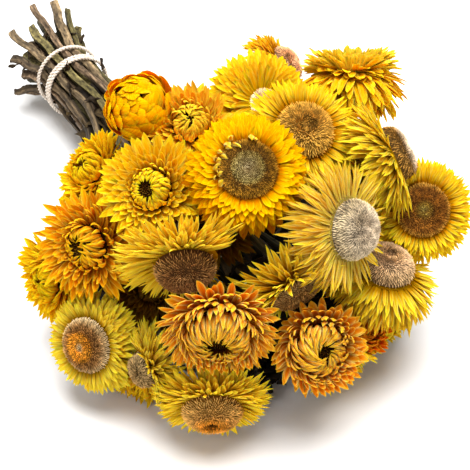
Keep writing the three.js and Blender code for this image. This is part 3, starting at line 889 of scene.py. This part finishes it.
BRACT_THICKNESS = 0.28
NARROW = blade_pattern(2, ((0, 0.62), (0.25, 0.84), (0.48, 1), (0.68, 0.90), (0.85, 0.55), (1, 0.03)))
ROUND = blade_pattern(4, ((0, 0.6), (0.3, 0.9), (0.56, 1), (0.78, 0.94), (0.92, 0.64), (1, 0.1)))
BROAD = blade_pattern(4, ((0, 0.6), (0.3, 0.88), (0.55, 1), (0.73, 0.90), (0.88, 0.54), (1, 0.03)))

# Colours of a bract: its root, its middle, its tip and its edges. The darker roots are partly painted shade
# and the pale edges partly a painted highlight.
SHADES = {
    "golden": ((178, 102, 0), (238, 166, 0), (250, 187, 4), (251, 196, 18)),
    "lemon": ((186, 116, 0), (236, 178, 0), (250, 204, 24), (254, 216, 66)),
    "lime": ((170, 118, 0), (224, 178, 4), (250, 212, 40), (252, 220, 80)),
    # The next shade's pale roots are partly the heads' own colour and partly painted light on roots in shade.
    "butter": ((238, 166, 10), (248, 184, 2), (253, 206, 26), (254, 214, 60)),
    # The next shade is painted shade: the dark brown of heads deep inside the bunch.
    "dusk": ((44, 24, 4), (84, 54, 8), (112, 76, 14), (124, 88, 20)),
    "straw": ((232, 194, 84), (224, 168, 20), (246, 198, 44), (254, 226, 110)),
    "sun": ((214, 134, 0), (246, 178, 0), (253, 204, 20), (254, 206, 40)),
    "marigold": ((206, 96, 0), (244, 148, 0), (250, 172, 4), (251, 184, 26)),
    "amber": ((170, 84, 0), (226, 140, 0), (248, 180, 18), (250, 196, 56)),
    "copper": ((156, 70, 0), (232, 136, 4), (253, 186, 42), (255, 228, 124)),
    "ember": ((160, 50, 0), (206, 86, 4), (232, 130, 20), (236, 130, 30)),
    "ochre": ((160, 100, 0), (222, 160, 0), (246, 192, 26), (248, 200, 50)),
}
# The pale yellow that the bracts of a young head tend to; it also stands as painted light on bracts in shade.
FRESH_AND_LIT_YELLOW = paint(255, 226, 70)

# Each open head: across in mm, lift of its lowest bracts and how much steeper its innermost are, width of a
# bract in mm, how untidy it is from 0 to 1, its shade, how many layers it has and how long its innermost
# bracts are beside its lowest ones.
OPEN_HEADS = {
    "centre": (57, -40, 52, 4.4, 0.12, "golden", 10, 0.3),
    "left_disc": (47, -24, 36, 2.9, 0.4, "lime", 8, 0.55),
    "brown_dome": (58, -8, 20, 2.8, 0.5, "butter", 6, 0.8),
    "front_dome": (50, -14, 30, 3.0, 0.5, "butter", 7, 0.65),
    "pale_dome": (60, -50, 50, 2.4, 0.7, "straw", 7, 0.8),
    "dark_disc": (46, -10, 30, 2.5, 0.5, "lemon", 7, 0.6),
    "right_side": (60, -55, 40, 2.9, 0.55, "lime", 7, 0.8),
    "low_dome": (57, -50, 34, 2.7, 0.5, "lime", 7, 0.7),
    "saddle": (54, -20, 34, 2.7, 0.5, "lemon", 7, 0.6),
    "top_right": (57, -62, 90, 4.4, 0.45, "butter", 12, 0.8),
    "top_left": (50, -14, 36, 3.6, 0.3, "butter", 9, 0.6),
    "top_orange": (44, -38, 40, 3.0, 0.5, "amber", 8, 0.5),
    "small_dome": (42, -34, 40, 2.4, 0.7, "lime", 7, 0.6),
    "tucked_dome": (60, -30, 40, 2.8, 0.6, "lime", 7, 0.8),
    "under_middle": (44, -12, 30, 3.0, 0.5, "ochre", 6, 0.4),
}
# How far the rim that the bracts grow on stands out round the disc, and which bracts count as narrow, in mm.
RIM_ROUND_DISC = 1.8
NARROW_WIDTH = 3.2
# How much painted shade darkens the roots of a head's bracts, where it isn't the full amount, and how closely
# its bracts cover it.
ROOT_SHADE = {
    "top_right": 0.1, "top_left": 0.1, "right_side": 0.5, "pale_dome": 0, "brown_dome": 0.3,
    "front_dome": 0.6,
}
COVER = {"top_right": 1.4, "top_left": 1.3, "pale_dome": 0.75, "brown_dome": 0.9, "tucked_dome": 0.9}
# How much painted shade darkens the lowest bracts of a head, and how far a head's bracts tend to the pale
# yellow, partly as a young head's colour and partly as painted light on bracts in shade.
LOW_SHADE = {"centre": 0.5, "pale_dome": 0.15, "low_dome": 0.4}
YOUNG_AND_LIT = {"brown_dome": 0.3, "front_dome": 0.25, "orange_mid": 0.3, "left_disc": 0.25, "small_dome": 0.3}
# Which way a head keeps its bracts and how many it has lost on the other side.
WORN = {"brown_dome": (2.54, (-0.8, -0.5))}
# Each half-open head: across in mm, how far its lowest tips lie above or below its rim, width of a bract in
# mm, how untidy it is, its shade, the radius of the ring its bracts grow on, the height of its dome and the
# radius of the hole they leave, how late they gather (above 1 most layers still lie low), how much they
# whirl, how late they begin to curl in, how far its lowest bracts hook up and how many layers it has.
CUPPED_HEADS = {
    "lemon_cup": (48, -1, 4.6, 0.25, "lemon", 9.4, 7, 2.6, 1.1, 0.06, 1.3, 6, 10),
    "gold_ball": (34, 4, 10, 0.05, "marigold", 11.5, 15, -1.5, 0.7, 0.25, 1, 66, 12),
    "amber_left": (52, -2, 4.2, 0.6, "amber", 10, 9, 2.6, 1.0, 0.12, 1.0, 24, 7),
    "rim_left": (47, -1, 4.4, 0.5, "sun", 9, 8, 1.0, 1.2, 0.1, 1.2, 10, 8),
    "amber_front": (51, -1, 4.0, 0.35, "copper", 12, 13, 3.2, 0.9, 0.05, 0.8, 30, 9),
    "amber_right": (42, 1, 4.0, 0.3, "copper", 10.4, 12, 1.4, 0.85, 0.15, 0.8, 40, 9),
    "upper_left": (43, -1, 4.0, 0.5, "sun", 9, 8, 1.4, 1.2, 0.1, 1.2, 10, 8),
    "orange_mid": (41, 1, 4.2, 0.5, "marigold", 8.6, 9, 0.6, 1.0, 0.1, 1, 30, 8),
    "red_bud": (28, 4, 3.4, 0.5, "ember", 6.5, 10, 0, 0.9, 0.2, 0.8, 20, 8),
    "low_yellow": (38, 0, 3.4, 0.5, "lime", 8, 8, 1.6, 1.2, 0, 1.2, 6, 9),
    "under_right": (43, -1, 3.6, 0.6, "lime", 8, 8, 1.6, 1.4, 0, 1.4, 6, 9),
    "under_left": (38, 0, 3.2, 0.6, "ochre", 7, 7, 1.4, 1.2, 0, 1.2, 6, 6),
    "gap_orange": (40, 2, 4.0, 0.5, "amber", 8, 9, 1.4, 1.0, 0, 1, 20, 9),
    "low_back_left": (42, 0, 4.2, 0.4, "ochre", 8, 9, 1.6, 1.2, 0, 1, 6, 6),
    "low_back_right": (42, 0, 4.2, 0.4, "ochre", 8, 9, 1.6, 1.2, 0, 1, 6, 6),
    "far_right": (44, 0, 4.2, 0.4, "sun", 9, 9, 1.6, 1.2, 0, 1, 6, 6),
    "far_back": (44, 0, 4.2, 0.4, "sun", 10, 9, 1.6, 1.2, 0, 1, 6, 6),
    # These two heads deep inside the bunch are painted dark brown, as painted shade.
    "inner_left": (42, 0, 4.2, 0.5, "dusk", 8, 8, 1.6, 1.2, 0, 1, 6, 6),
    "inner_middle": (42, 0, 4.2, 0.5, "dusk", 8, 8, 1.6, 1.2, 0, 1, 6, 6),
    "back": (44, 0, 4.2, 0.4, "sun", 9, 9, 1.6, 1.2, 0, 1, 6, 6),
}
# How much longer the bracts of a half-open head are on one side, and which way that side lies.
LEANING = {
    "lemon_cup": (0.3, -0.6), "amber_left": (0.4, -0.7), "amber_front": (0.08, 1.0),
    "amber_right": (0.3, 2.6),
}
# Half-open heads that lie under or behind the others have plainer bracts.
TUCKED_AWAY = (
    "under_left", "low_back_left", "low_back_right", "far_right", "far_back", "inner_left", "inner_middle",
    "back",
)

# What a bract must not pass through: the solid form of every other head that is near, and the table.
NEIGHBOUR_REACH = 0.08
LOWEST_TIP = 0.0015
SOLID_FORMS = {}
for node, solid in frame["nodes"].items():
    if node.startswith(("bracts_", "disc_")):
        owner = node.split("_", 1)[1]
        place = solid.matrix_world
        corners = [place @ corner.co for corner in solid.data.vertices]
        faces = [tuple(face.vertices) for face in solid.data.polygons]
        kept = SOLID_FORMS.setdefault(owner, ([], []))
        kept[1].extend(tuple(i + len(kept[0]) for i in face) for face in faces)
        kept[0].extend(corners)


def other_heads(name):
    corners, faces = [], []
    middle = Vector(HEADS[name][0]) / 1000
    for owner, (points, sides) in SOLID_FORMS.items():
        if owner == name or (Vector(HEADS[owner][0]) / 1000 - middle).length > NEIGHBOUR_REACH:
            continue
        faces.extend(tuple(i + len(corners) for i in side) for side in sides)
        corners.extend(points)
    return BVHTree.FromPolygons(corners, faces)


# The points along a midrib, and which of them have to be clear.
MIDRIB_SHARES = np.linspace(0, 1, 9)
TESTED_POINTS = [1, 3, 5, 6, 8]


# The midrib of a bract in its head's own frame: it leaves the rim at a lift and bends on its way to the tip.
def midrib(layer, lift, bend, reach):
    angle = np.radians(lift + bend * MIDRIB_SHARES ** 1.15)
    mean = (angle[1:] + angle[:-1]) / 2
    out = layer["radius"] + np.r_[0, np.cumsum(np.cos(mean))] * reach / len(mean)
    up = layer["height"] + np.r_[0, np.cumsum(np.sin(mean))] * reach / len(mean)
    return out, up, angle


def is_clear(name, forms, out, up, turn):
    line = np.c_[out * math.cos(turn), out * math.sin(turn), up][TESTED_POINTS]
    place = np.array(head_frame(name))
    world = [Vector(p) for p in (line / 1000 @ place[:3, :3].T + place[:3, 3])]
    if world[-1].z < LOWEST_TIP:
        return False
    for a, b in zip(world, world[1:]):
        span = b - a
        if forms.ray_cast(a, span.normalized(), span.length)[0] is not None:
            return False
    return True


# The ways in which a bract can be shortened and folded aside, in degrees, the least change first.
FOLDS = list(itertools.product((1, 0.85, 0.7, 0.55), (0, 8, -8, 16, -16, 26, -26, 38, -38, 52, 66)))
FOLDS.sort(key=lambda way: abs(way[1]) / 12 + (1 - way[0]) * 12 - (0.3 if way[1] > 0 else 0))
LOWEST_LIFT, HIGHEST_LIFT = -78, 105


def settle(name, forms, layer, turn, lift, bend, reach):
    for share, fold in FOLDS:
        if not LOWEST_LIFT < lift + fold < HIGHEST_LIFT:
            continue
        line = midrib(layer, lift + fold, bend, reach * share)
        if is_clear(name, forms, line[0], line[1], turn):
            return line, reach * share
    return None, 0


# A blade is bent along its midrib, twisted, swept to one side, folded along the middle and rippled.
def bend_blade(flat, layer, line, turn, reach, untidy, draw):
    t = (flat[:, 1] + 1) / 2
    r, z, lean = (np.interp(t, MIDRIB_SHARES, values) for values in line)
    half = layer["width"] / 2 * draw.uniform(0.9 - 0.25 * untidy, 1.1)
    twist = math.radians(draw.uniform(-1, 1) * (8 + 50 * untidy)) * t
    sweep = (layer.get("whirl", 0) + draw.uniform(-1, 1) * (0.04 + 0.20 * untidy)) * reach * t ** 2
    sway = draw.uniform(0, 0.05) * untidy * reach * np.sin(t * draw.uniform(4, 8) + draw.uniform(0, 6)) * t
    across = flat[:, 0] * half
    fold = draw.uniform(0.08, 0.26) + 0.6 * untidy * draw.random()
    ripple = 0.16 * half * np.sin(t * draw.uniform(5, 12) + draw.uniform(0, 6)) * untidy
    rise = fold * np.abs(flat[:, 0]) ** 1.5 * half + flat[:, 2] * BRACT_THICKNESS + ripple * flat[:, 0]
    x = (across * np.cos(twist) - rise * np.sin(twist)) / math.hypot(1, fold) + sweep + sway
    y = across * np.sin(twist) + rise * np.cos(twist)
    radial = r - np.sin(lean) * y
    sideways = (-math.sin(turn), math.cos(turn))
    points = np.c_[radial * math.cos(turn) + x * sideways[0], radial * math.sin(turn) + x * sideways[1],
                   z + np.cos(lean) * y]
    return points, across


# A blade is painted darkest at its root, as painted shade where the layers above shade it, and palest along
# its edges, partly a real pale margin and partly a painted highlight.
def colour_blade(flat, layer, shade, draw):
    t = (flat[:, 1] + 1) / 2
    root, middle, tip, rim = (paint(*colour) for colour in SHADES[shade])
    early = np.clip(t / 0.45, 0, 1)[:, None]
    late = np.clip((t - 0.6) / 0.4, 0, 1)[:, None]
    colours = (root * (1 - early) + middle * early) * (1 - late) + tip * late
    edge = (np.abs(flat[:, 0]) ** 3 * np.clip(t * 2 - 0.2, 0, 1))[:, None]
    colours = colours * (1 - edge) + rim * edge
    colours = colours * draw.uniform(0.8, 1.0) * np.array((1, draw.uniform(0.92, 1.06), 1))
    colours = colours * (1 - layer.get("age", 0) * np.array((0.6, 1, 1)))
    colours = colours + (FRESH_AND_LIT_YELLOW - colours) * layer.get("fresh", 0)
    deep = layer.get("deep", 1) * (1 - np.clip((t - 0.15) / 0.5, 0, 1))[:, None]
    return colours * (1 - deep * np.array((0.36, 0.54, 0.8)))


# How many bracts go round so that they cover the layer where they are widest.
def with_count(layer, cover):
    widest = midrib(layer, layer["lift"], layer["bend"], layer["reach"])[0][4]
    layer["count"] = round(2 * math.pi * max(widest, 0.7 * layer["radius"]) / layer["width"] * cover)
    return layer


# One head has gone shaggy: half of its bracts hang down all round, the others stand up in a tuft that tips to
# one side, and short ones fill the crease between them. The hanging ones and the crease get painted shade,
# the tuft painted light.
TIPPED_TOWARDS = 4.18
# Each layer in the crease: its height in mm, its lift in degrees and the length of its bracts in mm.
CREASE = ((-7.0, -22, 15), (-6.2, -10, 12), (-5.4, 0, 10), (-4.6, 14, 12))


def make_shaggy(layers):
    for i, layer in enumerate(layers):
        above = i - len(layers) / 2
        if above < 0:
            layer.update(lift=-52 + 9 * i, bend=-12 - 5 * i, age=0.26)
        else:
            layer.update(lift=16 + 4 * above, bend=-6, reach=layer["reach"] * 0.8, fresh=0.6)
            layer.update(tip=44, lean=-0.3)
        layer.update(height=layer["height"] - 4, side=TIPPED_TOWARDS, loose=1.5)
    layers += [dict(layers[0], height=height, lift=lift, bend=-10, reach=reach, count=30, loose=3.5, age=0.12)
               for height, lift, reach in CREASE]


# The layers of an open head rise and get shorter and narrower from the lowest to the one round the disc.
def open_layers(name, across, lift, rise, width, tiers, shortest):
    rim = DISCS[name].radius + RIM_ROUND_DISC
    outer = across / 2 - rim + 1.5
    layers = []
    side, bare = WORN.get(name, (0, (-2, -1)))
    for i in range(tiers):
        s = i / (tiers - 1)
        layers.append(with_count({
            "height": -3.6 + 3.5 * s, "radius": rim - 1.2 - 0.7 * s, "bend": -10 + 16 * s,
            "lift": lift + rise * s * s * (3 - 2 * s), "deep": ROOT_SHADE.get(name, 1), "side": side, "bare": bare,
            "age": LOW_SHADE.get(name, 0) * (1 - s) ** 1.5, "fresh": YOUNG_AND_LIT.get(name, 0),
            "reach": outer * (1 - (1 - shortest) * s ** 1.1) + 1.4, "width": width * (1 - 0.3 * s),
        }, COVER.get(name, 1)))
    if name == "top_right":
        make_shaggy(layers)
    return layers


# The tips of a half-open head lie on a dome that dips into the hole in its middle. Each bract leaves the rim
# and bends so that it ends there: hardly bent if it is an outer one, right over if it is an inner one. The
# ones that stand on the rim between them are few and stand anyhow.
def cupped_layers(name, across, low, width, rim, top, hole, gather, whirl, curl, hook, tiers):
    outer = across / 2
    lean, side = LEANING.get(name, (0, 0))
    roll = np.linspace(0, math.acos(hole / outer), 40)
    out, up = outer * np.cos(roll), low + (top - low) * np.sin(roll)
    dip = np.clip(1 - out / (0.8 * rim), 0, 1) * (hole > 0)
    up = up - 0.3 * top * dip
    run = np.r_[0, np.cumsum(np.hypot(np.diff(out), np.diff(up)))]
    layers = []
    for i in range(tiers):
        s = i / (tiers - 1)
        here = run[-1] * s ** gather
        root = (rim - 1 - (1.4 if hole > 0 else 2.5) * s, -3 + 4 * s)
        tip = (np.interp(here, run, out), np.interp(here, run, up))
        bend = hook + (106 - hook) * (np.interp(here, run, roll) / 1.5) ** curl
        bend += 30 * np.interp(here, run, dip)
        straight = midrib({"radius": 0, "height": 0}, 0, bend, 1)
        leaning = math.atan2(tip[1] - root[1], tip[0] - root[0])
        standing = math.exp(-((tip[0] / rim - 1) / 0.25) ** 2) * (hole > 0)
        layers.append(with_count({
            "height": root[1], "radius": root[0], "bend": bend, "whirl": whirl, "loose": 1 + 2.5 * standing,
            "lean": lean * s, "side": side, "fresh": YOUNG_AND_LIT.get(name, 0),
            "lift": math.degrees(leaning - math.atan2(straight[1][-1], straight[0][-1])),
            "reach": math.dist(root, tip) / math.hypot(straight[0][-1], straight[1][-1]),
            "width": width * (1 - (0.55 if hole > 0 else 0.1) * s),
        }, (1 + 0.5 * s) * (1 - 0.35 * standing)))
    return layers


BROWN_CUP = (60, 36, 10)
CUP_SIDES = 24


# The cup that carries the bracts: a profile spun round the head's axis, down to the stem.
def spun_cup(name, rim, top, shade):
    ring = started_from(bpy.ops.mesh.primitive_circle_add, vertices=CUP_SIDES, radius=1, fill_type="NGON")
    bpy.ops.object.mode_set(mode="EDIT")
    bpy.ops.mesh.select_all(action="SELECT")
    for _ in range(3):
        bpy.ops.mesh.extrude_region_move(TRANSFORM_OT_translate={"value": (0, 0, 1)})
    bpy.ops.mesh.select_all(action="SELECT")
    bpy.ops.mesh.normals_make_consistent(inside=False)
    bpy.ops.object.mode_set(mode="OBJECT")
    points, faces = pattern_arrays(ring)
    profile = [(2.4, -9), (rim - 1.2, -3.2), (rim - 0.4, -1.2), (rim - 0.8, top)]
    level = np.rint(points[:, 2]).astype(int)
    radii = np.array([r for r, _ in profile])[level]
    heights = np.array([z for _, z in profile])[level]
    points = np.c_[points[:, :2] * radii[:, None], heights]
    colours = np.tile(paint(*shade) * 0.5, (len(points), 1))
    grain = np.c_[np.arctan2(points[:, 1], points[:, 0]) * 8, points[:, 2] * 2, np.zeros(len(points))]
    return mesh_of("cup", faces, [(placed_in_bunch(points, name), colours, grain)])


# The florets that a half-open head still hides: a brown tuft at the bottom of its hole, painted dark and
# darkest towards its rim, partly as painted shade in the hole.
TUFT_RINGS = ((0, (112, 78, 30)), (0.6, (84, 54, 16)), (1, (50, 30, 8)))


def hidden_tuft(name, rim, top, draw):
    form = Disc(rim * 0.7, top * 0.4, 0.4, 2.2, 20, 260, TUFT_RINGS)
    return packed_disc("tuft", name, form, 1, 1, 1, draw)


papery_bract = dry_finish(
    "papery_bract", roughness=0.5, gloss=0, noise={"Scale": 1.5, "Detail": 3},
    shades=((0.34, (0.76, 0.62, 0.46)), (0.64, (1.06, 1.10, 1.1))), stretch=(1.9, 0.08, 1), tint=0.8,
    fibres=(0.5, 0.0003),
)
shader = papery_bract.node_tree.nodes["Principled BSDF"]
shader.inputs["Subsurface Weight"].default_value = 0.7
shader.inputs["Subsurface Radius"].default_value = (1.0, 0.55, 0.12)
shader.inputs["Subsurface Scale"].default_value = 0.0012


# Every bract of a layer leaves the rim with a small difference of its own. It is left out where its head has
# lost its bracts, or where it can't be folded clear of the other heads.
def grow_head(name, layers, pattern, untidy, shade, draw):
    flat, faces = pattern
    forms = other_heads(name)
    blades = []
    for layer in layers:
        offset = draw.uniform(0, 6.3)
        for i in range(layer["count"]):
            turn = offset + (i + draw.uniform(-0.3, 0.3)) * 2 * math.pi / layer["count"]
            toward = math.cos(turn - layer.get("side", 0))
            if toward < draw.uniform(*layer.get("bare", (-2, -1))):
                continue
            lift = layer["lift"] + draw.uniform(-1, 1) * (2 + 10 * untidy) * layer.get("loose", 1)
            lift += layer.get("tip", 0) * toward
            bend = layer["bend"] + draw.uniform(-1, 1) * (5 + 30 * untidy)
            reach = layer["reach"] * draw.uniform(0.93 - 0.2 * untidy, 1.04)
            reach *= 1 + layer.get("lean", 0) * toward
            line, long = settle(name, forms, layer, turn, lift, bend, reach)
            if line is None:
                continue
            points, across = bend_blade(flat, layer, line, turn, long, untidy, draw)
            colours = colour_blade(flat, layer, shade, draw)
            along = (flat[:, 1] + 1) / 2 * long
            grain = np.c_[across, along, np.full(len(flat), draw.uniform(0, 90))]
            blades.append((placed_in_bunch(points, name), colours, grain))
    return mesh_of("blades_" + name, faces, blades)


def finish_head(name, parts):
    head = joined("head_" + name, parts)
    head.data.materials.append(papery_bract)
    smooth_over(head, 50)
    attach(head, "root")
    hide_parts("bracts_" + name)


# On one side of the middle disc two layers of short, pale, curled bracts have stayed next to it. Each layer:
# how far inside the rim it grows in mm, its lift and its bend in degrees.
COLLAR = ((0.4, 50, 110), (1.6, 64, 84))

bract_draw = random.Random(7)
for name, (across, lift, rise, width, untidy, shade, tiers, shortest) in OPEN_HEADS.items():
    rim = DISCS[name].radius + RIM_ROUND_DISC
    pattern = NARROW if width < NARROW_WIDTH else ROUND if shade == "butter" else BROAD
    layers = open_layers(name, across, lift, rise, width, tiers, shortest)
    parts = [grow_head(name, layers, pattern, untidy, shade, bract_draw)]
    if name == "centre":
        collar = [{"height": 0.2, "radius": rim - back, "lift": lift, "bend": bend, "reach": 7, "width": 3,
                   "count": 24, "side": 2.2, "bare": (-0.1, 1.0), "deep": 0.3, "loose": 2}
                  for back, lift, bend in COLLAR]
        parts.append(grow_head(name, collar, NARROW, 0.9, "straw", bract_draw))
    parts.append(spun_cup(name, rim, 0, SHADES[shade][0]))
    finish_head(name, parts)
for name, (across, low, width, untidy, shade, rim, top, *posture) in CUPPED_HEADS.items():
    layers = cupped_layers(name, across, low, width, rim, top, *posture)
    pattern = NARROW if name in TUCKED_AWAY else ROUND if name == "gold_ball" else BROAD
    # All of the closed ball's bracts are broad, and the inner half of any other head's are narrow.
    outside = len(layers) if name == "gold_ball" else len(layers) // 2
    blades = [grow_head(name, layers[:outside], pattern, untidy, shade, bract_draw)]
    if outside < len(layers):
        blades.append(grow_head(name, layers[outside:], NARROW, untidy, shade, bract_draw))
    cup = spun_cup(name, rim, 1, BROWN_CUP)
    finish_head(name, blades + [cup, hidden_tuft(name, rim, top, bract_draw)])
